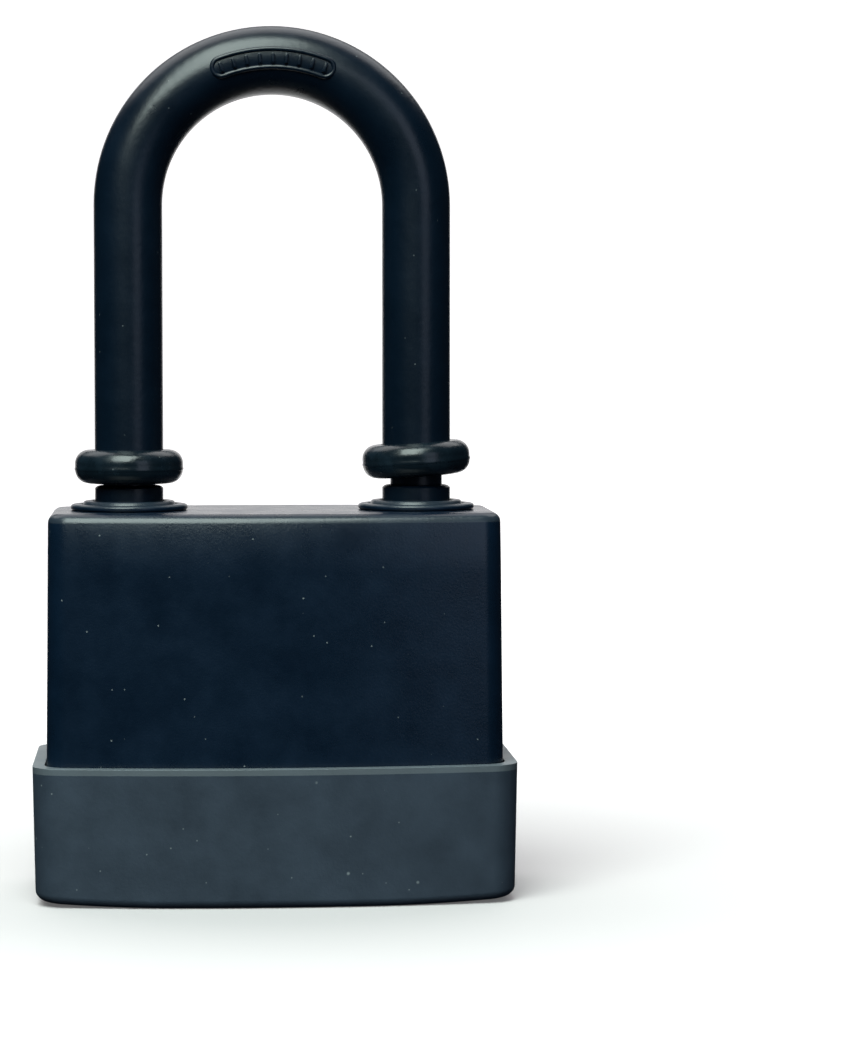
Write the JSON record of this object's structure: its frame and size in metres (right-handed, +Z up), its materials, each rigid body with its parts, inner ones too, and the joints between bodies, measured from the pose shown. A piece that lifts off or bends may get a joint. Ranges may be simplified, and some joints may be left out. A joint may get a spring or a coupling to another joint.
{
  "type": "padlock",
  "caption": "Weatherproof laminated padlock in a two-part plastic jacket, with a long round shackle, rubber leg seals and a hinged keyhole cover.",
  "frame": {"origin": "middle of the face that the lock stands on, at the foot of the base cap", "axes": "+Z up along the shackle, +X to the right with the toe leg on that side, -Y out of the front face"},
  "size_m": [0.07, 0.0366, 0.127],
  "materials": {
    "jacket_plastic": "semi-matte moulded thermoplastic, blue-black",
    "cap_plastic": "matte moulded thermoplastic, slate grey",
    "seal_rubber": "moulded rubber, satin",
    "shackle_coating": "hardened steel rod with a black satin coating",
    "plate_steel": "stamped steel plate",
    "bright_steel": "turned and hardened steel",
    "cylinder_brass": "turned brass"
  },
  "bodies": {
    "body": {"upper_shell": "jacket_plastic", "base_cap": "cap_plastic", "left_bush": "jacket_plastic", "right_bush": "jacket_plastic", "plate_01": "plate_steel", "plate_02": "plate_steel", "plate_03": "plate_steel", "plate_04": "plate_steel", "plate_05": "plate_steel", "plate_06": "plate_steel", "plate_07": "plate_steel", "plate_08": "plate_steel", "plate_09": "plate_steel", "plate_10": "plate_steel", "plate_11": "plate_steel", "plate_12": "plate_steel", "rivet_1": "bright_steel", "rivet_2": "bright_steel", "rivet_3": "bright_steel", "rivet_4": "bright_steel", "cylinder_housing": "cylinder_brass", "chamber_cover": "cylinder_brass", "driver_pin_1": "bright_steel", "driver_pin_2": "bright_steel", "driver_pin_3": "bright_steel", "driver_pin_4": "bright_steel", "driver_pin_5": "bright_steel", "pin_spring_1": "bright_steel", "pin_spring_2": "bright_steel", "pin_spring_3": "bright_steel", "pin_spring_4": "bright_steel", "pin_spring_5": "bright_steel", "heel_spring": "bright_steel", "keyway_gasket": "seal_rubber", "cover_hinge_pin": "bright_steel"},
    "shackle": {"shackle": "shackle_coating", "left_seal": "seal_rubber", "right_seal": "seal_rubber"},
    "plug": {"plug": "cylinder_brass", "plug_clip": "bright_steel", "key_pin_1": "cylinder_brass", "key_pin_2": "cylinder_brass", "key_pin_3": "cylinder_brass", "key_pin_4": "cylinder_brass", "key_pin_5": "cylinder_brass", "lock_cam": "bright_steel"},
    "toe_ball": {"toe_ball": "bright_steel"},
    "heel_ball": {"heel_ball": "bright_steel"},
    "cover": {"keyhole_cover": "jacket_plastic"}
  },
  "joints": [
    {"name": "shackle_lift", "type": "slide", "parent": "body", "child": "shackle", "axis": [0, 0, 1], "range_m": [0, 0.0188], "deforming": ["heel_spring"]},
    {"name": "plug_turn", "type": "hinge", "parent": "body", "child": "plug", "pos_m": [0, 0, 0.0062], "axis": [0, 0, 1], "range_deg": [0, 90]},
    {"name": "toe_ball_travel", "type": "slide", "parent": "body", "child": "toe_ball", "axis": [1, 0, 0], "range_m": [0, 0.0018]},
    {"name": "heel_ball_travel", "type": "slide", "parent": "body", "child": "heel_ball", "axis": [-1, 0, 0], "range_m": [0, 0.0007]},
    {"name": "cover_hinge", "type": "hinge", "parent": "body", "child": "cover", "pos_m": [0, 0.0082, 0.0014], "axis": [1, 0, 0], "range_deg": [0, 95]}
  ],
  "couplings": [
    {"joint": "toe_ball_travel", "follows": "plug_turn", "m_per_rad": 0.0011459},
    {"joint": "heel_ball_travel", "follows": "plug_turn", "m_per_rad": 0.00044563}
  ]
}
